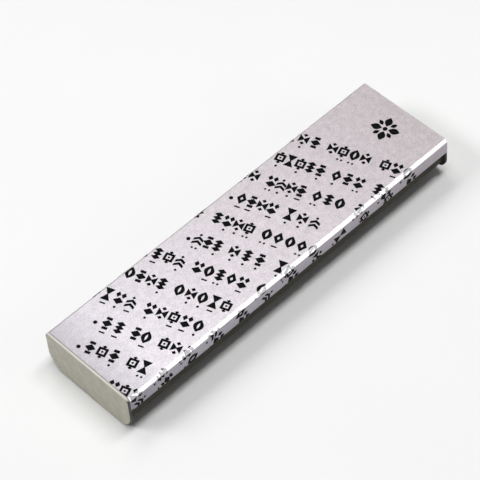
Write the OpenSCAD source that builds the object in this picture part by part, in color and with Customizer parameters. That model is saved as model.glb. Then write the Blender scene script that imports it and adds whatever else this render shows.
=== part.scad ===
// Mezuzah case: a sheet-aluminium front cover slides lengthwise off a moulded back.
// Two end caps close the back, which holds a rolled and wrapped parchment scroll.
// The case lies on its back. +X points to its upper end when it hangs, +Z points out of
// its front, and the origin is the centre of the plane that it rests on.

/* [Case] */
// Length over both end caps
case_length = 120; // [118:1:150]
// Width over the front cover
case_width = 32; // [30:0.2:40]
// Depth from the resting plane to the front face
case_depth = 14; // [13:0.1:18]

/* [Front cover] */
// Thickness of the aluminium sheet
cover_wall = 0.8; // [0.6:0.1:0.9]
// Chamfer along both long edges of the front face
cover_chamfer = 0.9; // [0.6:0.05:1.4]
// Depth of the cover's side walls, from the front face down
cover_side = 5.1; // [4:0.1:6]
// Height of the lip along the bottom of each side wall
lip_height = 0.8; // [0.6:0.1:1]
// How far each lip stands in from its side wall
lip_reach = 0.5; // [0.4:0.05:0.6]
// Running gap round the sliding cover
slide_gap = 0.2; // [0.15:0.05:0.25]
// Seam between the cover and the bottom cap when the case is shut
cover_seam = 0.1; // [0.05:0.05:0.3]

/* [End caps] */
// Thickness of each end plate
plate_thickness = 0.7; // [0.6:0.1:1.6]
// Radius of the bottom plate's two rear corners
plate_corner = 6.4; // [5:0.1:6.5]
// Radius of the bottom plate's two front corners
front_corner = 1.2; // [0.8:0.1:2]
// Rounding of the bottom plate's outer edge
plate_round = 0.3; // [0.2:0.05:0.5]
// How far the top plate's foot lies inside the cover's side
foot_inset = 0.1; // [0.1:0.02:0.6]
// Height of the top plate's foot over the resting plane
foot_raise = 2.0; // [0.6:0.1:2.4]
// Radius of the top plate's two rear corners
foot_corner = 3.6; // [3:0.1:6]
// Depth of the plug that each plate carries
plug_depth = 2.5; // [1.5:0.1:2.5]

/* [Back] */
// How far the back's sides lie inside the cover's outer face
back_step = 0.98; // [0.9:0.02:1.2]
// How far the caps hold the back off the resting plane
back_raise = 0.6; // [0.4:0.1:1]
// Thickness of the back's floor
floor_thickness = 2; // [1.8:0.1:2.5]
// Thickness of the back's side walls
back_wall = 1.5; // [1.2:0.1:2]
// Distance between the two screw holes
screw_spacing = 106; // [100:1:106]
// Diameter of each screw hole
screw_hole_d = 3.6; // [3:0.1:4]
// Diameter of each countersink at its mouth
screw_head_d = 6.6; // [6:0.1:6.8]
// Height of the two ribs that keep the scroll in the middle
rib_height = 2.4; // [1:0.1:4]
// Thickness of those ribs
rib_thickness = 1.2; // [0.8:0.1:1.6]

/* [Scroll] */
// Length of the rolled parchment
scroll_length = 99; // [80:1:99]
// Thickness of the parchment
parchment_thickness = 0.3; // [0.2:0.05:0.35]
// Inner radius of the first turn
scroll_core = 1.6; // [1:0.1:1.6]
// Distance from one turn to the next
turn_pitch = 0.5; // [0.45:0.05:0.5]
// Number of half turns in the roll
half_turns = 11; // [7:2:11]
// Length of the paper wrap
wrap_length = 93; // [60:1:99]
// Thickness of the paper wrap
wrap_thickness = 0.2; // [0.1:0.05:0.25]

/* [Adhesive strips] */
// Length of each foam strip
strip_length = 40; // [20:1:44]
// Width of each foam strip
strip_width = 18; // [10:1:18]

/* [Hidden] */
$fn = 96;

cap_grey = [0.66, 0.65, 0.61];
back_grey = [0.50, 0.48, 0.44];
foam_grey = [0.25, 0.25, 0.25];

half_length = case_length / 2;
half_width = case_width / 2;
plate_face = half_length - plate_thickness;

cover_base = case_depth - cover_side;
cover_half = half_width - cover_wall;
lip_half = cover_half - lip_reach;
bend_shift = cover_wall * (sqrt(2) - 1);

back_half = half_width - back_step;
back_top = case_depth - cover_wall - 1.25 * slide_gap;
back_corner = plate_corner - back_raise;
back_edge = 0.6;
groove_base = cover_base - slide_gap;
groove_height = lip_height + 2 * slide_gap;

chamber_half = back_half - back_wall;
chamber_floor = back_raise + floor_thickness;
chamber_corner = back_corner - back_wall;
chamber_end = plate_face - plug_depth;

wrap_gap = 0.1;
scroll_radius = scroll_core + turn_pitch * (half_turns - 1) / 2 + parchment_thickness;
wrap_inner = scroll_radius + wrap_gap;
wrap_outer = wrap_inner + wrap_thickness;
rest_gap = 0.02;
scroll_height = chamber_floor + wrap_outer + rest_gap;
rib_clearance = 0.3;
rib_inner = wrap_outer + rib_clearance;

strip_corner = 1.5;
strip_offset = 28;

// Extrudes an outline drawn across the case (Y, Z) from x_start to x_end
module along_case(x_start, x_end) {
    translate([x_start, 0, 0]) rotate([90, 0, 90]) linear_extrude(x_end - x_start) children();
}

// A box section with two rounded rear corners
module tub_outline(half, bottom, top, corner) {
    translate([-half, bottom + corner]) square([2 * half, top - bottom - corner]);
    translate([corner - half, bottom]) square([2 * (half - corner), top - bottom]);
    for (side = [-1, 1])
        translate([side * (half - corner), bottom + corner]) circle(corner);
}

// The back's outer section, with eased front corners and a groove for each cover lip
module back_outline() {
    difference() {
        tub_outline(back_half, back_raise, back_top, back_corner);
        for (side = [-1, 1]) {
            translate([side * back_half, back_top])
                rotate(45) square(back_edge * sqrt(2), center = true);
            translate([side * back_half, groove_base + groove_height / 2])
                square([2 * (back_half - lip_half + slide_gap), groove_height], center = true);
        }
    }
}

// The scroll chamber's section, which both plugs fill
module chamber_outline(top) {
    tub_outline(chamber_half, chamber_floor, top, chamber_corner);
}

// Half of the cover's section, from the middle of its front face to its lip and back
function cover_half_section() = [
    [half_width - cover_chamfer, case_depth],
    [half_width, case_depth - cover_chamfer],
    [half_width, cover_base],
    [lip_half, cover_base],
    [lip_half, cover_base + lip_height],
    [cover_half, cover_base + lip_height],
    [cover_half, case_depth - cover_chamfer - bend_shift],
    [half_width - cover_chamfer - bend_shift, case_depth - cover_wall]
];

module front_cover() {
    right = cover_half_section();
    last = len(right) - 1;
    left = [for (i = [last:-1:0]) [-right[i][0], right[i][1]]];
    color("silver")
        along_case(-plate_face + cover_seam, half_length)
            polygon(concat(right, left));
}

// A countersunk hole through the floor, open to the back
module screw_hole() {
    sink_depth = (screw_head_d - screw_hole_d) / 2;
    through = 1;
    translate([0, 0, back_raise - through]) cylinder(d = screw_hole_d, h = floor_thickness + through);
    translate([0, 0, chamber_floor - sink_depth])
        cylinder(d1 = screw_hole_d, d2 = screw_head_d, h = sink_depth);
    translate([0, 0, chamber_floor]) cylinder(d = screw_head_d, h = through);
}

module back_body() {
    open_top = back_top + 1;
    color(back_grey) {
        difference() {
            along_case(-plate_face, plate_face) back_outline();
            along_case(-half_length, half_length) chamber_outline(open_top);
            for (end = [-1, 1]) translate([end * screw_spacing / 2, 0, 0]) screw_hole();
        }
        for (side = [-1, 1])
            translate([-scroll_length / 2, side * (rib_inner + rib_thickness / 2) - rib_thickness / 2,
                       chamber_floor - back_raise])
                cube([scroll_length, rib_thickness, rib_height + back_raise]);
    }
}

// An end plate whose outer face, at x = 0, has a rounded edge all round
module soft_plate() {
    inner_half = half_width - plate_round;
    corner_middle = half_width - plate_corner;
    inner_top = case_depth - plate_round;
    rear_middle = half_width - plate_corner;
    front_middle = half_width - front_corner;
    side_length = case_depth - front_corner - plate_corner;
    intersection() {
        along_case(0, plate_thickness) square([2 * case_width, 4 * case_depth], center = true);
        union() {
            along_case(plate_round, plate_thickness) plate_outline(0);
            along_case(0, plate_thickness) plate_outline(plate_round);
            rotate([90, 0, 90]) translate([0, 0, plate_round]) {
                translate([0, plate_round]) edge_bar(2 * rear_middle, [0, 90, 0]);
                translate([0, inner_top]) edge_bar(2 * front_middle, [0, 90, 0]);
                for (side = [-1, 1]) {
                    translate([side * inner_half, plate_corner + side_length / 2])
                        edge_bar(side_length, [90, 0, 0]);
                    translate([side * rear_middle, plate_corner])
                        edge_bend(plate_corner, side > 0 ? -90 : 180);
                    translate([side * front_middle, case_depth - front_corner])
                        edge_bend(front_corner, side > 0 ? 0 : 90);
                }
            }
        }
    }
}

// The bottom plate's outline, drawn smaller all round by inset
module plate_outline(inset) {
    corner = front_corner - inset;
    half = half_width - inset;
    top = case_depth - inset;
    tub_outline(half, inset, top - corner, plate_corner - inset);
    translate([corner - half, inset + plate_corner]) square([2 * (half - corner), top - inset - plate_corner]);
    for (side = [-1, 1])
        translate([side * (half - corner), top - corner]) circle(corner);
}

// A round bar centred on its middle, which rounds one straight edge of the plate
module edge_bar(length, turn) {
    rotate(turn) cylinder(r = plate_round, h = length, center = true);
}

// The same rounding bent a quarter turn about the middle of a corner
module edge_bend(corner, turn) {
    rotate(turn) rotate_extrude(angle = 90)
        translate([corner - plate_round, 0]) circle(plate_round);
}

module bottom_end_cap() {
    color(cap_grey) {
        translate([-half_length, 0, 0]) soft_plate();
        along_case(-plate_face, -chamber_end) chamber_outline(back_top);
    }
}

// The top plate stays inside the cover above the cover's side walls, so the cover passes it
module top_end_cap() {
    color(cap_grey) {
        along_case(plate_face, half_length) {
            back_outline();
            intersection() {
                tub_outline(half_width - foot_inset, foot_raise, case_depth, foot_corner);
                translate([-half_width, 0]) square([case_width, groove_base]);
            }
        }
        along_case(chamber_end, plate_face) chamber_outline(back_top);
    }
}

// One half turn of the roll, on the upper (1) or lower (-1) side of its middle
module half_ring(radius, side) {
    reach = radius + parchment_thickness;
    intersection() {
        difference() {
            circle(reach);
            circle(radius);
        }
        translate([-reach, side > 0 ? 0 : -reach]) square([2 * reach, reach]);
    }
}

// Upper half turns share one centre and lower ones a second, half a pitch away
module parchment_scroll() {
    color("wheat")
        translate([0, 0, scroll_height])
            along_case(-scroll_length / 2, scroll_length / 2)
                for (i = [0:half_turns - 1])
                    translate([i % 2 * turn_pitch / 2, 0])
                        half_ring(scroll_core + i * turn_pitch / 2, i % 2 == 0 ? 1 : -1);
}

module scroll_wrap() {
    color("ivory")
        translate([0, 0, scroll_height])
            along_case(-wrap_length / 2, wrap_length / 2)
                difference() {
                    circle(wrap_outer);
                    circle(wrap_inner);
                }
}

// A foam strip that fills the step between the back and the resting plane
module adhesive_strip() {
    long = strip_length / 2 - strip_corner;
    wide = strip_width / 2 - strip_corner;
    color(foam_grey)
        linear_extrude(back_raise) {
            square([strip_length, 2 * wide], center = true);
            square([2 * long, strip_width], center = true);
            for (x = [-long, long], y = [-wide, wide]) translate([x, y]) circle(strip_corner);
        }
}

module upper_adhesive_strip() {
    translate([strip_offset, 0, 0]) adhesive_strip();
}

module lower_adhesive_strip() {
    translate([-strip_offset, 0, 0]) adhesive_strip();
}

front_cover();
back_body();
bottom_end_cap();
top_end_cap();
parchment_scroll();
scroll_wrap();
upper_adhesive_strip();
lower_adhesive_strip();
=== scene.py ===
import math
import random

import bmesh
import bpy
from mathutils import Matrix, Vector
from mathutils.geometry import delaunay_2d_cdt


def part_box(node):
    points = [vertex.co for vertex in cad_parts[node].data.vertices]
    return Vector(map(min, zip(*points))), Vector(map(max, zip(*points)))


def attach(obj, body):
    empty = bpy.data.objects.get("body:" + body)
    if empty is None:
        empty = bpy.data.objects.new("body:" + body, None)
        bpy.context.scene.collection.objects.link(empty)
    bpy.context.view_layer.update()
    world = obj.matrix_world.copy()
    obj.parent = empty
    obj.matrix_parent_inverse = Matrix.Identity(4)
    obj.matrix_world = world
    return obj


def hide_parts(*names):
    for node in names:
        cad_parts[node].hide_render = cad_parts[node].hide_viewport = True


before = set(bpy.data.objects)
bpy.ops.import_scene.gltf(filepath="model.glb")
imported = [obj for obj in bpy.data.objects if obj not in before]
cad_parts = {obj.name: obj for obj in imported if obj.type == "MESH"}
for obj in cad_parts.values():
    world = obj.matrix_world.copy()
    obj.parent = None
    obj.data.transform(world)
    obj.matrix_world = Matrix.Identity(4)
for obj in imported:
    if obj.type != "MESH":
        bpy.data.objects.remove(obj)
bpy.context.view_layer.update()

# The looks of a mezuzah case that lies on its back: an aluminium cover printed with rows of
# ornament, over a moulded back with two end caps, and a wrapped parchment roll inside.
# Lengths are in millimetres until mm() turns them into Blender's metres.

MM = 0.001


def mm(node):
    """The lowest and highest corner of a CAD node, in millimetres."""
    return [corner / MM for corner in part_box(node)]


COVER_LOW, COVER_HIGH = mm("front_cover")
SCROLL_LOW, SCROLL_HIGH = mm("parchment_scroll")
WRAP_LOW, WRAP_HIGH = mm("scroll_wrap")

# The folded sheet, as the CAD model has it
SHEET = 0.8
CHAMFER = 0.9
LIP_HEIGHT = 0.8
LIP_REACH = 0.5
FOLD_RADIUS = 0.14
CUT_RADIUS = 0.1
ARC_STEPS = 4

HALF_WIDTH = COVER_HIGH.y
FACE = COVER_HIGH.z
COVER_BASE = COVER_LOW.z


# ---------------------------------------------------------------- meshes

def make_mesh(name, verts, faces):
    """An object from points in millimetres."""
    mesh = bpy.data.meshes.new(name)
    mesh.from_pydata([tuple(c * MM for c in v) for v in verts], [], faces)
    mesh.validate()
    obj = bpy.data.objects.new(name, mesh)
    bpy.context.scene.collection.objects.link(obj)
    return obj


def face_outwards(obj):
    """Turns every face of a closed mesh to the outside."""
    work = bmesh.new()
    work.from_mesh(obj.data)
    bmesh.ops.recalc_face_normals(work, faces=work.faces)
    work.to_mesh(obj.data)
    work.free()


def give_materials(obj, *materials):
    """Sets an object's materials in place of those it had."""
    obj.data.materials.clear()
    for material in materials:
        obj.data.materials.append(material)


def shade(obj, sharp_degrees=35):
    """Smooth shading that keeps flat faces flat and real edges crisp."""
    obj.data.shade_smooth()
    obj.data.set_sharp_from_angle(angle=math.radians(sharp_degrees))
    weighted = obj.modifiers.new("flat faces stay flat", "WEIGHTED_NORMAL")
    weighted.keep_sharp = True


def loft(name, rings):
    """A closed solid through rings of points, with a flat face at both ends."""
    count = len(rings[0])
    verts = [point for ring in rings for point in ring]
    faces = []
    for r in range(len(rings) - 1):
        for k in range(count):
            a = r * count + k
            b = r * count + (k + 1) % count
            faces.append((a, b, b + count, a + count))
    faces.append(tuple(range(count))[::-1])
    faces.append(tuple(range((len(rings) - 1) * count, len(rings) * count)))
    obj = make_mesh(name, verts, faces)
    face_outwards(obj)
    return obj


def corner_arc(before, corner, after, radius):
    """The points of an arc that rounds one corner of an outline."""
    to_before = (before - corner).normalized()
    to_after = (after - corner).normalized()
    half_angle = to_before.angle(to_after) / 2
    middle = corner + (to_before + to_after).normalized() * radius / math.sin(half_angle)
    start = corner + to_before * radius / math.tan(half_angle) - middle
    end = corner + to_after * radius / math.tan(half_angle) - middle
    turn = start.angle_signed(end)
    arc = []
    for step in range(ARC_STEPS + 1):
        angle = turn * step / ARC_STEPS
        arc.append(middle + Matrix.Rotation(-angle, 2) @ start)
    return arc


def outline_normals(points, closed):
    """The outward direction at each point of an outline that runs counter-clockwise."""
    last = len(points) - 1
    normals = []
    for i, point in enumerate(points):
        before = points[i - 1] if i or closed else point
        after = points[(i + 1) % len(points)] if i < last or closed else point
        first = (point - before).normalized()
        second = (after - point).normalized()
        along = (first + second).normalized()
        normals.append(Vector((along.y, -along.x)))
    return normals


# ---------------------------------------------------------------- the front cover

def face_corners():
    """The cover's outer corners across the case, as (y, z), from its right side to its left."""
    shoulder = FACE - CHAMFER
    brow = HALF_WIDTH - CHAMFER
    return [
        Vector((-HALF_WIDTH, COVER_BASE)), Vector((-HALF_WIDTH, shoulder)), Vector((-brow, FACE)),
        Vector((brow, FACE)), Vector((HALF_WIDTH, shoulder)), Vector((HALF_WIDTH, COVER_BASE)),
    ]


def inner_corners():
    """The corners of the cover's inside and of its lips, from the left side to the right."""
    bend = SHEET * (math.sqrt(2) - 1)
    inside = HALF_WIDTH - SHEET
    lip = inside - LIP_REACH
    left = [
        Vector((lip, COVER_BASE)), Vector((lip, COVER_BASE + LIP_HEIGHT)),
        Vector((inside, COVER_BASE + LIP_HEIGHT)), Vector((inside, FACE - CHAMFER - bend)),
        Vector((HALF_WIDTH - CHAMFER - bend, FACE - SHEET)),
    ]
    return left + [Vector((-p.x, p.y)) for p in reversed(left)]


def rounded(corners, closed):
    """An outline with every corner rounded, apart from the two ends of an open one."""
    last = len(corners) - 1
    points = []
    for i, corner in enumerate(corners):
        if not closed and i in (0, last):
            points.append(corner)
        else:
            points += corner_arc(corners[i - 1], corner, corners[(i + 1) % len(corners)], FOLD_RADIUS)
    return points


def on_lit_chamfer(face):
    """True on the lit right chamfer, whose metal is made brighter and whose print is painted pale as a
    painted highlight.
    """
    return -0.95 < face.normal.y < -0.3 and face.normal.z > 0.3


def make_cover():
    """The folded sheet, with a small radius on its folds and on its cut ends."""
    # the outline runs clockwise seen from -X, so its reverse has its outside on the right
    outline = rounded(face_corners() + inner_corners(), closed=True)[::-1]
    normals = outline_normals(outline, closed=True)
    rings = []
    ends = ((COVER_LOW.x, CUT_RADIUS), (COVER_LOW.x + CUT_RADIUS, 0),
            (COVER_HIGH.x - CUT_RADIUS, 0), (COVER_HIGH.x, CUT_RADIUS))
    for x, inset in ends:
        ring = []
        for point, normal in zip(outline, normals):
            moved = point - normal * inset
            ring.append(Vector((x, moved.x, moved.y)))
        rings.append(ring)
    cover = loft("front_cover_sheet", rings)
    shade(cover)
    face_metal = satin_aluminium("satin_aluminium", (0.53, 0.504, 0.538), (0.775, 0.735, 0.787))
    # a darker copy of the face metal for the side walls and cut ends: painted shade on faces turned
    # away from the light
    shaded_side_metal = satin_aluminium("shaded_side_aluminium", (0.385, 0.365, 0.41), (0.50, 0.475, 0.54))
    give_materials(cover, face_metal, cut_aluminium_and_highlight(), shaded_side_metal)
    for face in cover.data.polygons:
        # the side walls and the cut ends at the sides take the darker copy, as painted shade
        side_end = abs(face.normal.x) > 0.5 and face.normal.z < 0.3
        side_wall = abs(face.normal.y) > 0.95
        if side_end or side_wall:
            face.material_index = 2
        else:
            # the lit right chamfer takes the brighter cut metal: partly real polish, partly painted
            # highlight
            face.material_index = 1 if on_lit_chamfer(face) else 0
    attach(cover, "cover")
    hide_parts("front_cover")
    return cover


# ---------------------------------------------------------------- the printed ornament
# The print is laid out flat, in (x, v): v runs across the unfolded sheet from its middle to
# its left edge. Rows run slantwise, so they cross the folds and are cut by the sheet's edges.

UNIT = 1.19
ROW_SLANT = math.radians(20)
ROW_PITCH = 7.73 * UNIT
FIRST_ROW = -59.3
MARK_STEP = 2.75
MARK_TALL = 3.45
MARK_WIDE = 2.4
BAR = 0.74
INK_HEIGHT = 0.015
INK_SUNK = 0.01
PRINT_MARGIN = 0.15
ROSETTE_PLACE = Vector((51.3, -0.65))
ORNAMENT_SEED = 18
# Each row: where its groups of marks start and end across the sheet, and where a round stop
# stands. All are in units from the right edge of the face; the print bleeds off both sides.
BLEED_RIGHT = -4.8
BLEED_LEFT = 31.0
ROWS = (
    (((BLEED_RIGHT, 6.0),), None),
    (((BLEED_RIGHT, 0.5), (2.0, 7.5), (9.0, 17.3)), 18.3),
    (((BLEED_RIGHT, 6.2), (7.8, 12.6), (13.8, 19.5)), 20.5),
    (((BLEED_RIGHT, 0.0), (1.5, 15.5), (17.0, BLEED_LEFT)), None),
    (((BLEED_RIGHT, -0.5), (1.0, 14.5), (16.0, BLEED_LEFT)), None),
    (((BLEED_RIGHT, 1.5), (3.0, 16.0), (17.5, BLEED_LEFT)), None),
    (((BLEED_RIGHT, 2.5), (4.5, 13.5), (14.8, 21.5)), 22.5),
    (((BLEED_RIGHT, 11.5), (13.0, 23.0), (24.6, BLEED_LEFT)), None),
    (((BLEED_RIGHT, -1.0), (3.0, 12.0), (13.3, 23.0)), 24.0),
    (((BLEED_RIGHT, 1.4), (3.0, 11.0), (12.2, 21.5), (23.2, BLEED_LEFT)), None),
    (((BLEED_RIGHT, 2.0), (4.0, 12.0), (13.2, 25.2)), None),
    (((BLEED_RIGHT, 6.0), (8.0, 18.4), (19.8, BLEED_LEFT)), None),
)


def box_mark(x, y, width, height):
    return [(x - width / 2, y - height / 2), (x + width / 2, y - height / 2),
            (x + width / 2, y + height / 2), (x - width / 2, y + height / 2)]


def lozenge(x, y, width, height):
    return [(x - width / 2, y), (x, y - height / 2), (x + width / 2, y), (x, y + height / 2)]


def ring(outer, inner):
    """The strip between two outlines with the same number of corners."""
    count = len(outer)
    return [[outer[k], outer[(k + 1) % count], inner[(k + 1) % count], inner[k]] for k in range(count)]


def leaf(x, y, length, width, angle, steps=5):
    """A pointed leaf with its stem end at (x, y)."""
    turn = Matrix.Rotation(angle, 2)
    edge = [(length * k / steps, width / 2 * math.sin(math.pi * k / steps)) for k in range(steps + 1)]
    points = edge + [(px, -py) for px, py in reversed(edge[1:-1])]
    return [turn @ Vector(p) + Vector((x, y)) for p in points]


def round_dot(x, y, radius, steps=16):
    angles = [2 * math.pi * k / steps for k in range(steps)]
    return [(x + radius * math.cos(t), y + radius * math.sin(t)) for t in angles]


def lozenge_ring():
    middle = MARK_TALL / 2
    return ring(lozenge(0, middle, MARK_WIDE, MARK_TALL), lozenge(0, middle, 0.7, 1.0))


def hourglass():
    half, middle = MARK_WIDE / 2, MARK_TALL / 2
    return [[(-half, MARK_TALL), (0, middle - 0.2), (half, MARK_TALL)],
            [(-half, 0), (half, 0), (0, middle + 0.2)]]


def chevrons():
    half, rise = MARK_WIDE / 2, 0.7
    shapes = [lozenge(0, MARK_TALL - 0.42, 0.85, 0.85)]
    for y in (0, 1.12):
        for side in (-half, half):
            shapes.append([(side, y), (0, y + rise), (0, y + rise + BAR), (side, y + BAR)])
    return shapes


def framed_lozenge():
    middle = MARK_TALL / 2
    square = ring(box_mark(0, middle, MARK_WIDE, 2.3), box_mark(0, middle, MARK_WIDE - 1.2, 1.1))
    ends = [lozenge(0, y, 1.1, 0.8) for y in (0.3, MARK_TALL - 0.3)]
    return square + [lozenge(0, middle, 0.7, 0.7)] + ends


def barred_lozenge():
    bars = [box_mark(0, y, 1.4, BAR) for y in (BAR / 2, MARK_TALL - BAR / 2)]
    return bars + [lozenge(0, MARK_TALL / 2, 2.6, 1.9)]


def lozenge_chain():
    return [lozenge(0, MARK_TALL * share, 2.3, 1.35) for share in (0.2, 0.5, 0.8)]


def bow():
    half, middle = MARK_WIDE / 2, MARK_TALL / 2
    knots = [[(side, middle - 1.15), (side, middle + 1.15), (-side * 0.15, middle)]
             for side in (-half, half)]
    return knots + [lozenge(0, y, 1.15, 1.0) for y in (0.45, MARK_TALL - 0.45)]


def slit_leaf():
    upright = math.radians(90)
    outer = leaf(0, 0, MARK_TALL, 2.4, upright, 8)
    inner = leaf(0, MARK_TALL / 4, MARK_TALL / 2, 0.55, upright, 8)
    return ring(outer, inner)


def lozenge_trio():
    pair = [lozenge(x, 2.65, 1.25, 1.6) for x in (-0.68, 0.68)]
    return [lozenge(0, 0.95, 2.6, 1.9)] + pair


MARKS = (lozenge_ring, hourglass, chevrons, framed_lozenge, barred_lozenge, lozenge_chain, bow,
         slit_leaf, lozenge_trio)


def small_marks(pick):
    """What may stand under a mark: one or two small lozenges, a short bar, or nothing."""
    y = -0.9
    if pick < 0.25:
        return [lozenge(0, y, 0.8, 0.8)]
    if pick < 0.45:
        return [lozenge(x, y, 0.7, 0.7) for x in (-0.5, 0.5)]
    if pick < 0.6:
        return [box_mark(0, y, 1.4, 0.42)]
    return []


def rosette():
    """Eight petals round a dot, every second one shorter."""
    shapes = [round_dot(0, 0, 0.6)]
    for k in range(8):
        angle = math.pi / 4 * k
        start, length, width = (1.35, 1.8, 1.05) if k % 2 else (0.8, 2.85, 1.85)
        away = Vector((math.cos(angle), math.sin(angle))) * start
        shapes.append(leaf(away.x, away.y, length, width, angle, 10))
    return shapes


ROW_ALONG = Vector((-math.sin(ROW_SLANT), math.cos(ROW_SLANT)))
ROW_UP = Vector((math.cos(ROW_SLANT), math.sin(ROW_SLANT)))


def placed(shapes, centre):
    """Shapes in units, set down at a place on the flat sheet along the rows' slant."""
    moved = []
    for shape in shapes:
        outline = [centre + (ROW_ALONG * x + ROW_UP * y) * UNIT for x, y in shape]
        area = sum(a.cross(b) for a, b in zip(outline, outline[1:] + outline[:1]))
        moved.append(outline if area > 0 else outline[::-1])
    return moved


def row_shapes(number, groups, stop, dice):
    """Every outline of one row of ornament."""
    shapes = []
    origin = Vector((FIRST_ROW + ROW_PITCH * number, -HALF_WIDTH))
    across = UNIT / math.cos(ROW_SLANT)
    previous = None
    for start, end in groups:
        length = (end - start) * across
        count = round(length / (MARK_STEP * UNIT))
        for k in range(count):
            mark = dice.choice([m for m in MARKS if m is not previous])
            previous = mark
            centre = origin + ROW_ALONG * (start * across + length * (k + 0.5) / count)
            shapes += placed(mark() + small_marks(dice.random()), centre)
    if stop:
        shapes += placed([round_dot(0, 1.0, 0.5)], origin + ROW_ALONG * stop * across)
    return shapes


def fold_path():
    """The sheet's outer side as (distance from its middle, y, z, normal), right to left."""
    points = rounded(face_corners(), closed=False)
    normals = [-n for n in outline_normals(points, closed=False)]
    lengths = [0]
    for a, b in zip(points, points[1:]):
        lengths.append(lengths[-1] + (b - a).length)
    middle = lengths[-1] / 2
    return [(s - middle, p, n) for s, p, n in zip(lengths, points, normals)]


def onto_sheet(path, x, v, lift):
    """The place of a flat print point on the folded sheet, in 3-D."""
    i = 0
    while i < len(path) - 2 and v > path[i + 1][0]:
        i += 1
    share = (v - path[i][0]) / (path[i + 1][0] - path[i][0])
    point = path[i][1].lerp(path[i + 1][1], share)
    normal = path[i][2].lerp(path[i + 1][2], share)
    lifted = point + normal * lift
    return Vector((x, lifted.x, lifted.y))


def ornament():
    """Every outline of the print, flat."""
    dice = random.Random(ORNAMENT_SEED)
    shapes = []
    for number, (groups, stop) in enumerate(ROWS):
        shapes += row_shapes(number, groups, stop, dice)
    return shapes + placed(rosette(), ROSETTE_PLACE)


def triangulated(shapes, path):
    """The print's flat points and triangles, cut off at the sheet's edges and cut at its folds."""
    x_low, x_high = COVER_LOW.x + CUT_RADIUS, COVER_HIGH.x - CUT_RADIUS
    v_low, v_high = path[0][0] + PRINT_MARGIN, path[-1][0] - PRINT_MARGIN
    points, edges, outlines = [], [], []
    for shape in shapes:
        first = len(points)
        points += [Vector(p) for p in shape]
        outlines.append(list(range(first, len(points))))
    # the folds and the trimmed edges are lines that no triangle of ink may cross
    far = 2 * COVER_HIGH.x
    for v in [v_low, v_high] + [step[0] for step in path[1:-1]]:
        edges.append((len(points), len(points) + 1))
        points += [Vector((-far, v)), Vector((far, v))]
    for x in (x_low, x_high):
        edges.append((len(points), len(points) + 1))
        points += [Vector((x, -far)), Vector((x, far))]
    flat, _, triangles, _, _, sources = delaunay_2d_cdt(points, edges, outlines, 1, 1e-6)

    kept = []
    for triangle, source in zip(triangles, sources):
        centre = sum((flat[i] for i in triangle), Vector((0, 0))) / len(triangle)
        if source and x_low < centre.x < x_high and v_low < centre.y < v_high:
            kept.append(tuple(triangle))
    return flat, kept


def make_print():
    """All the ornament as one thin layer of ink, folded with the sheet."""
    path = fold_path()
    flat, triangles = triangulated(ornament(), path)
    used = sorted({i for triangle in triangles for i in triangle})
    place = {i: k for k, i in enumerate(used)}
    top = [onto_sheet(path, flat[i].x, flat[i].y, INK_HEIGHT) for i in used]
    bottom = [onto_sheet(path, flat[i].x, flat[i].y, -INK_SUNK) for i in used]
    count = len(used)
    faces = []
    directed = set()
    for triangle in triangles:
        a, b, c = (place[i] for i in triangle)
        faces.append((a, b, c))
        faces.append((c + count, b + count, a + count))
        directed.update(((a, b), (b, c), (c, a)))
    for a, b in directed:
        if (b, a) not in directed:
            faces.append((b, a, a + count, b + count))
    ink = make_mesh("printed_ornament", top + bottom, faces)
    face_outwards(ink)
    give_materials(ink, print_ink(), ink_painted_highlight())
    for face in ink.data.polygons:
        # the print on the lit right chamfer is painted pale, as a painted highlight
        face.material_index = 1 if on_lit_chamfer(face) else 0
    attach(ink, "cover")
    return ink


# ---------------------------------------------------------------- the parchment and its wrap

DENT = 0.015


def roll_faces(rows, steps_along):
    """The faces of a thick sheet: rows of points round the roll, first its inside, then its outside."""
    row_size = steps_along + 1
    half = rows * row_size
    faces = []
    for r in range(rows - 1):
        for k in range(steps_along):
            a = r * row_size + k
            b = a + row_size
            faces.append((a, a + 1, b + 1, b))
            faces.append((a + half, b + half, b + 1 + half, a + 1 + half))
        for k in (0, steps_along):
            a = r * row_size + k
            b = a + row_size
            faces.append((a, b, b + half, a + half))
    for r in (0, rows - 1):
        for k in range(steps_along):
            a = r * row_size + k
            faces.append((a, a + 1, a + 1 + half, a + half))
    return faces


def make_roll(name, inner, outer, turns, thickness, x_ends, wander, steps_along, steps_round):
    """A sheet rolled up from its inner radius to its outer one, whose turns slip along it."""
    middle_z = (SCROLL_LOW.z + SCROLL_HIGH.z) / 2
    low, high = x_ends
    dice = random.Random(len(name))
    waves = [(dice.uniform(0.6, 2.4), dice.uniform(0, math.tau)) for _ in range(3)]
    rows = int(turns * steps_round) + 1
    verts = []
    for side in (0, 1):
        for r in range(rows):
            share = r / (rows - 1)
            angle = math.tau * turns * share
            slip = 0.5 + sum(math.sin(w * angle + p) for w, p in waves) / (2 * len(waves))
            radius = inner + (outer - thickness - inner) * share + thickness * side
            for k in range(steps_along + 1):
                along = k / steps_along
                x = low + wander * slip + (high - low - wander) * along
                dent = DENT * side * abs(math.sin(9 * along + 3 * angle))
                y = (radius - dent) * math.cos(angle)
                z = middle_z + (radius - dent) * math.sin(angle)
                verts.append(Vector((x, y, z)))
    roll = make_mesh(name, verts, roll_faces(rows, steps_along))
    face_outwards(roll)
    shade(roll, 50)
    return roll


def make_scroll():
    turns = 5.5
    inner, outer, thickness = 1.66, SCROLL_HIGH.y - 0.01, 0.26
    scroll = make_roll("rolled_parchment", inner, outer, turns, thickness,
                       (SCROLL_LOW.x, SCROLL_HIGH.x), 0.35, 48, 48)
    give_materials(scroll, parchment())
    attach(scroll, "scroll")
    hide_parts("parchment_scroll")


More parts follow.
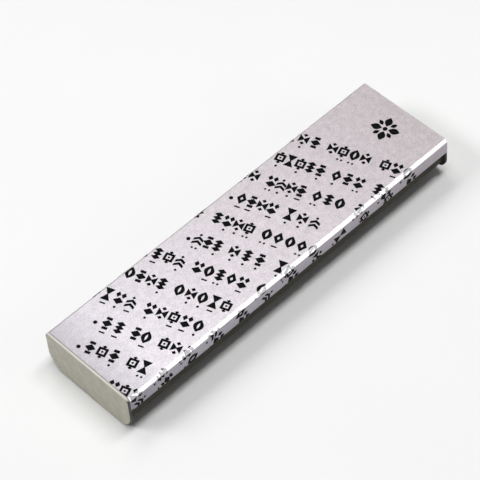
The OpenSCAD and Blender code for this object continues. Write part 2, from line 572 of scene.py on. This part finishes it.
def make_wrap():
    turns = 1.2
    outer, thickness = WRAP_HIGH.y, 0.07
    inner = outer - 0.19
    wrap = make_roll("paper_wrap", inner, outer, turns, thickness,
                     (WRAP_LOW.x, WRAP_HIGH.x), 0.1, 48, 72)
    give_materials(wrap, wrap_paper())
    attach(wrap, "scroll")
    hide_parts("scroll_wrap")


# ---------------------------------------------------------------- the foam strips

STRIP_CORNER = 1.5
# how far the cut edge is drawn in, at shares of the strip's thickness
STRIP_EDGE = ((0.0, 0.06), (0.12, 0.0), (0.3, 0.05), (0.5, 0.09), (0.7, 0.05), (0.88, 0.0), (1.0, 0.06))


def strip_ring(low, high, inset, z):
    """One level of a strip: a rectangle with rounded corners, drawn in by inset."""
    centre = (low + high) / 2
    radius = STRIP_CORNER - inset
    points = []
    for quarter in range(4):
        sx = 1 if quarter in (0, 3) else -1
        sy = 1 if quarter in (0, 1) else -1
        cx = centre.x + sx * ((high.x - low.x) / 2 - STRIP_CORNER)
        cy = centre.y + sy * ((high.y - low.y) / 2 - STRIP_CORNER)
        for step in range(9):
            angle = math.pi / 2 * (quarter + step / 8)
            points.append(Vector((cx + radius * math.cos(angle), cy + radius * math.sin(angle), z)))
    return points


def make_strip(node):
    """A die-cut foam strip whose cut edge is drawn in a little."""
    low, high = mm(node)
    rings = []
    for share, inset in STRIP_EDGE:
        rings.append(strip_ring(low, high, inset, low.z + (high.z - low.z) * share))
    strip = loft(node + "_foam", rings)
    shade(strip, 60)
    give_materials(strip, adhesive_foam())
    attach(strip, "case")
    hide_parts(node)


# ---------------------------------------------------------------- materials

class Surface:
    """A Principled material whose nodes are added one call at a time."""

    def __init__(self, name, **constants):
        self.material = bpy.data.materials.new(name)
        self.material.use_nodes = True
        self.tree = self.material.node_tree
        self.shader = self.tree.nodes["Principled BSDF"]
        coordinates = self.tree.nodes.new("ShaderNodeTexCoord").outputs
        self.place = coordinates["Object"]
        self.facing = coordinates["Normal"]
        for socket, value in constants.items():
            self.shader.inputs[socket.replace("_", " ")].default_value = value

    def node(self, kind, inputs=(), **settings):
        made = self.tree.nodes.new("ShaderNode" + kind)
        for name, value in settings.items():
            setattr(made, name, value)
        for socket, value in dict(inputs).items():
            if isinstance(value, bpy.types.NodeSocket):
                self.tree.links.new(value, made.inputs[socket])
            else:
                made.inputs[socket].default_value = value
        return made

    def stretched(self, scale):
        return self.node("Mapping", {"Vector": self.place, "Scale": scale}).outputs["Vector"]

    def noise(self, size_mm, detail=2.0, rough=0.5, place=None):
        """Noise from 0 to 1 whose features are about size_mm across."""
        inputs = {"Vector": place or self.place, "Scale": 1 / (size_mm * MM), "Detail": detail,
                  "Roughness": rough}
        return self.node("TexNoise", inputs).outputs["Fac"]

    def cells(self, size_mm):
        inputs = {"Vector": self.place, "Scale": 1 / (size_mm * MM)}
        return self.node("TexVoronoi", inputs).outputs["Distance"]

    def between(self, value, low, high, from_low=0.3, from_high=0.7):
        """A number that follows value, from low to high."""
        inputs = {"Value": value, "From Min": from_low, "From Max": from_high, "To Min": low,
                  "To Max": high}
        return self.node("MapRange", inputs).outputs["Result"]

    def colours(self, value, stops):
        """A colour that follows value through (position, colour) stops."""
        made = self.node("ValToRGB", {"Fac": value})
        ramp = made.color_ramp
        while len(ramp.elements) < len(stops):
            ramp.elements.new(0.5)
        for element, (position, colour) in zip(ramp.elements, stops):
            element.position = position
            element.color = (*colour, 1)
        return made.outputs["Color"]

    def bump(self, height, depth_mm, before=None):
        inputs = {"Height": height, "Distance": depth_mm * MM, "Strength": 1.0}
        if before:
            inputs["Normal"] = before
        return self.node("Bump", inputs).outputs["Normal"]

    def add(self, a, b, share=0.5):
        made = self.node("Mix", {"Factor": share}, data_type="FLOAT")
        self.tree.links.new(a, made.inputs["A"])
        self.tree.links.new(b, made.inputs["B"])
        return made.outputs["Result"]

    def mix(self, colour, other, share, blend="MIX"):
        """The first colour, with the other one laid over it where share is 1."""
        inputs = {"Color1": colour, "Color2": (*other, 1), "Fac": share}
        return self.node("MixRGB", inputs, blend_type=blend).outputs["Color"]

    def lengthwise(self, start_mm, end_mm):
        """0 before start_mm along the case, rising to 1 at end_mm."""
        along = self.node("SeparateXYZ", {"Vector": self.place}).outputs["X"]
        return self.between(along, 0.0, 1.0, start_mm * MM, end_mm * MM)

    # the mask for the caps' painted shade
    def away_from(self, outward):
        """1 where the surface faces the object's sides, its back or, on a part whose outside
        faces +X (outward 1) or -X (outward -1), its inside. 0 elsewhere."""
        parts = self.node("SeparateXYZ", {"Vector": self.facing}).outputs
        most = self.node("Math", {0: parts["Y"]}, operation="ABSOLUTE").outputs["Value"]
        for axis, sign in (("Z", -1.0), ("X", -float(outward))):
            other = self.node("Math", {0: parts[axis], 1: sign}, operation="MULTIPLY")
            both = {0: most, 1: other.outputs["Value"]}
            most = self.node("Math", both, operation="MAXIMUM").outputs["Value"]
        return self.between(most, 0.0, 1.0, 0.24, 0.53)

    # the mask for the caps' painted highlight
    def upward(self):
        """1 where the surface faces the front of the case, 0 elsewhere."""
        up = self.node("SeparateXYZ", {"Vector": self.facing}).outputs["Z"]
        return self.between(up, 0.0, 1.0, 0.4, 0.8)

    def finish(self, colour=None, roughness=None, normal=None):
        for socket, value in (("Base Color", colour), ("Roughness", roughness), ("Normal", normal)):
            if value is not None:
                self.tree.links.new(value, self.shader.inputs[socket])
        return self.material


def halfway(dark, light):
    return tuple((a + b) / 2 for a, b in zip(dark, light))


ROSY = (1.0, 0.955, 0.93)
NEAR_END_SHADE = (0.71, 0.70, 0.71)
RIM_HIGHLIGHT = (0.57, 0.553, 0.49)


def satin_aluminium(name, dark, light):
    """Bead-blasted, anodised aluminium: a fine sparkling grain with soft mottling in it.

    The anodising is a little rosier towards the upper end; towards the lower end the colour is darkened
    as painted shade.
    """
    s = Surface(name, Metallic=1.0)
    cloud = s.noise(1.6, detail=4.0, rough=0.65)
    grain = s.noise(0.4, detail=3.0, rough=0.7)
    tone = s.add(cloud, grain, 0.6)
    colour = s.colours(tone, ((0.36, dark), (0.5, halfway(dark, light)), (0.64, light)))
    colour = s.mix(colour, ROSY, s.lengthwise(-60, 60), "MULTIPLY")
    # painted shade: the metal darkens over its last 13 mm towards the lower end
    colour = s.mix(colour, NEAR_END_SHADE, s.lengthwise(-47, -60), "MULTIPLY")
    roughness = s.between(tone, 0.36, 0.48)
    return s.finish(colour, roughness, s.bump(grain, 0.004))


def cut_aluminium_and_highlight():
    """The right chamfer's cut metal, brighter and smoother than the face: partly a real polished cut,
    partly a painted highlight, since only the lit right chamfer has it. Fine tool lines run along the
    cut.
    """
    s = Surface("cut_aluminium_and_highlight", Metallic=1.0)
    lines = s.noise(0.05, detail=2.0, place=s.stretched((0.02, 1.0, 1.0)))
    patches = s.noise(4.0, detail=2.0)
    colour = s.colours(patches, ((0.3, (0.86, 0.85, 0.86)), (0.7, (0.93, 0.92, 0.93))))
    roughness = s.between(s.add(lines, patches), 0.14, 0.26)
    return s.finish(colour, roughness, s.bump(lines, 0.0015))


def print_ink():
    """Black screen-printing ink: satin, a little uneven where it dried."""
    s = Surface("black_print", Specular_IOR_Level=0.06)
    fine = s.noise(0.12, detail=3.0)
    colour = s.colours(fine, ((0.3, (0.0015, 0.0018, 0.002)), (0.75, (0.004, 0.0045, 0.005))))
    return s.finish(colour, s.between(fine, 0.38, 0.56), s.bump(fine, 0.003))


def ink_painted_highlight():
    """The print on the right chamfer, painted a pale metallic grey: a painted highlight where the lit
    chamfer shines through the ink.
    """
    s = Surface("print_painted_highlight", Metallic=1.0)
    wear = s.noise(0.5, detail=3.0)
    colour = s.colours(wear, ((0.35, (0.40, 0.40, 0.405)), (0.65, (0.66, 0.65, 0.66))))
    return s.finish(colour, s.between(wear, 0.3, 0.2), s.bump(wear, 0.002))


def moulded_plastic(name, dark, light, gloss, edge=None, outward=0):
    """Matt plastic with the fine grain of a spark-eroded mould.

    Where an edge colour is given, the surfaces that face sideways, down or, with outward, inwards are
    painted in it as painted shade, and the top edge under the cover's face is painted paler as a
    painted highlight.
    """
    s = Surface(name, Specular_IOR_Level=gloss)
    cloud = s.noise(2.5, detail=3.0)
    grain = s.noise(0.35, detail=3.0, rough=0.65)
    tone = s.add(cloud, grain, 0.5)
    colour = s.colours(tone, ((0.34, dark), (0.5, halfway(dark, light)), (0.66, light)))
    if edge:
        # painted shade: the sides, undersides and, with outward, the inside take the dark edge colour
        colour = s.mix(colour, edge, s.away_from(outward))
        # painted highlight: the top edge under the cover's face is made paler
        colour = s.mix(colour, RIM_HIGHLIGHT, s.upward())
    return s.finish(colour, s.between(grain, 0.42, 0.58), s.bump(grain, 0.006))


def parchment():
    """Scraped skin: cream, with cloudy tone, fine fibres and scattered hair pores."""
    s = Surface("parchment", Specular_IOR_Level=0.35)
    cloud = s.noise(6.0, detail=5.0, rough=0.6)
    fibres = s.noise(0.25, detail=4.0, rough=0.7, place=s.stretched((0.25, 1.0, 1.0)))
    tone = s.add(cloud, fibres, 0.4)
    colour = s.colours(tone, ((0.3, (0.60, 0.46, 0.27)), (0.5, (0.74, 0.63, 0.44)),
                              (0.7, (0.83, 0.75, 0.58))))
    pores = s.bump(s.cells(0.5), 0.01)
    return s.finish(colour, s.between(fibres, 0.5, 0.72), s.bump(fibres, 0.02, pores))


def wrap_paper():
    """Thin calendered paper with short fibres and light creases."""
    s = Surface("wrap_paper", Specular_IOR_Level=0.3)
    fibres = s.noise(0.2, detail=4.0, rough=0.7, place=s.stretched((0.4, 1.0, 1.0)))
    creases = s.noise(9.0, detail=2.0)
    tone = s.add(creases, fibres, 0.4)
    colour = s.colours(tone, ((0.3, (0.74, 0.71, 0.62)), (0.7, (0.87, 0.85, 0.78))))
    folds = s.bump(creases, 0.15)
    return s.finish(colour, s.between(fibres, 0.6, 0.8), s.bump(fibres, 0.012, folds))


def adhesive_foam():
    """Closed-cell foam with open pores on its cut faces."""
    s = Surface("adhesive_foam", Specular_IOR_Level=0.25)
    pores = s.cells(0.22)
    cloud = s.noise(3.0, detail=3.0)
    colour = s.colours(s.add(pores, cloud, 0.35), ((0.25, (0.012, 0.012, 0.013)),
                                                   (0.6, (0.05, 0.05, 0.052))))
    return s.finish(colour, s.between(cloud, 0.7, 0.85), s.bump(pores, 0.05))


def floor_paper():
    """The pale, plain surface that the case lies on."""
    s = Surface("floor", Specular_IOR_Level=0.3)
    cloud = s.noise(60.0, detail=2.0)
    colour = s.colours(cloud, ((0.3, (0.83, 0.835, 0.83)), (0.7, (0.84, 0.845, 0.84))))
    return s.finish(colour, s.between(cloud, 0.55, 0.65))


def finish_cad_nodes():
    """Gives the moulded parts, whose CAD shape stays, their own plastic."""
    dark, light = (0.37, 0.352, 0.286), (0.51, 0.484, 0.404)
    # the caps' dark edge colours are painted shade on their sides, undersides and the upper cap's
    # inside; their top edges get a painted highlight
    lower = moulded_plastic("lower_cap_plastic", dark, light, 0.45, (0.045, 0.043, 0.040))
    upper = moulded_plastic("upper_cap_plastic", dark, light, 0.15, (0.045, 0.042, 0.034), 1)
    back = moulded_plastic("back_plastic", (0.036, 0.031, 0.020), (0.056, 0.049, 0.034), 0.10)
    for node, material in (("back_body", back), ("bottom_end_cap", lower), ("top_end_cap", upper)):
        give_materials(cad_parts[node], material)


# ---------------------------------------------------------------- the studio

def aimed(location, target):
    """A matrix at location that looks at target."""
    matrix = (Vector(target) - Vector(location)).to_track_quat("-Z", "Y").to_matrix().to_4x4()
    matrix.translation = location
    return matrix


def make_camera():
    """Looks down along the case from its bottom end, from the right of it."""
    heading = math.radians(49.84)
    elevation = math.radians(51.1)
    roll = math.radians(-5.43)
    distance = 0.62565
    target = Vector((0, 0.005, 0.007))
    level = Vector((math.cos(heading), math.sin(heading), 0))
    look = level * math.cos(elevation) - Vector((0, 0, math.sin(elevation)))
    right = look.cross(Vector((0, 0, 1))).normalized()
    up = right.cross(look)
    turned_right = right * math.cos(roll) + up * math.sin(roll)
    turned_up = up * math.cos(roll) - right * math.sin(roll)
    matrix = Matrix((turned_right, turned_up, -look)).transposed().to_4x4()
    matrix.translation = target - look * distance
    data = bpy.data.cameras.new("camera")
    data.lens = 173.1
    data.sensor_width = 36
    camera = bpy.data.objects.new("camera", data)
    camera.matrix_world = matrix
    bpy.context.scene.collection.objects.link(camera)
    bpy.context.scene.camera = camera


def make_light(name, location, size, energy, straight_down):
    """A soft light of size (across, along) that shines straight down or on the case's middle."""
    data = bpy.data.lights.new(name, "AREA")
    data.shape = "RECTANGLE"
    data.size, data.size_y = size
    data.energy = energy
    light = bpy.data.objects.new(name, data)
    target = (location[0], location[1], 0) if straight_down else (0, 0, 0)
    light.matrix_world = aimed(location, target)
    bpy.context.scene.collection.objects.link(light)


# name, place, size across and along, watts, and whether it shines straight down
LIGHTS = (
    ("key", (-0.9, 0.74, 1.0), (0.45, 0.88), 12.9, True),
    ("overhead", (0.14, -0.10, 1.0), (0.8, 0.25), 6.4, True),
    ("left_panel", (0.05, 0.44, 1.0), (0.45, 0.25), 1.85, True),
    ("face_glow", (0.52, 0.65, 1.0), (0.45, 0.3), 0.85, True),
    ("end_fill", (0.97, 0.0, 0.26), (0.45, 0.45), 0.65, False),
    ("chamfer_card", (0.40, -0.78, 0.48), (0.35, 0.35), 0.6, False),
)


def make_studio():
    """A wide pale floor under a ceiling of softboxes, with a small card for the right chamfer."""
    half = 3000
    corners = [(-half, -half, 0), (half, -half, 0), (half, half, 0), (-half, half, 0)]
    floor = make_mesh("floor", corners, [(0, 1, 2, 3)])
    give_materials(floor, floor_paper())
    for light in LIGHTS:
        make_light(*light)
    make_room()


def make_room():
    """A dim room with a paler wall on the case's left side."""
    world = bpy.data.worlds.new("studio")
    world.use_nodes = True
    tree = world.node_tree
    towards = tree.nodes.new("ShaderNodeTexCoord").outputs["Generated"]
    parts = tree.nodes.new("ShaderNodeSeparateXYZ")
    walls = tree.nodes.new("ShaderNodeMapRange")
    walls.interpolation_type = "SMOOTHSTEP"
    for socket, value in (("From Min", -0.3), ("From Max", 0.5), ("To Min", 0.08), ("To Max", 0.18)):
        walls.inputs[socket].default_value = value
    tree.links.new(towards, parts.inputs["Vector"])
    tree.links.new(parts.outputs["Y"], walls.inputs["Value"])
    tree.links.new(walls.outputs["Result"], tree.nodes["Background"].inputs["Strength"])
    tree.nodes["Background"].inputs["Color"].default_value = (1.0, 1.0, 1.0, 1)
    bpy.context.scene.world = world
    bpy.context.scene.view_settings.view_transform = "Standard"


make_camera()
make_cover()
make_print()
make_scroll()
make_wrap()
make_strip("upper_adhesive_strip")
make_strip("lower_adhesive_strip")
finish_cad_nodes()
make_studio()
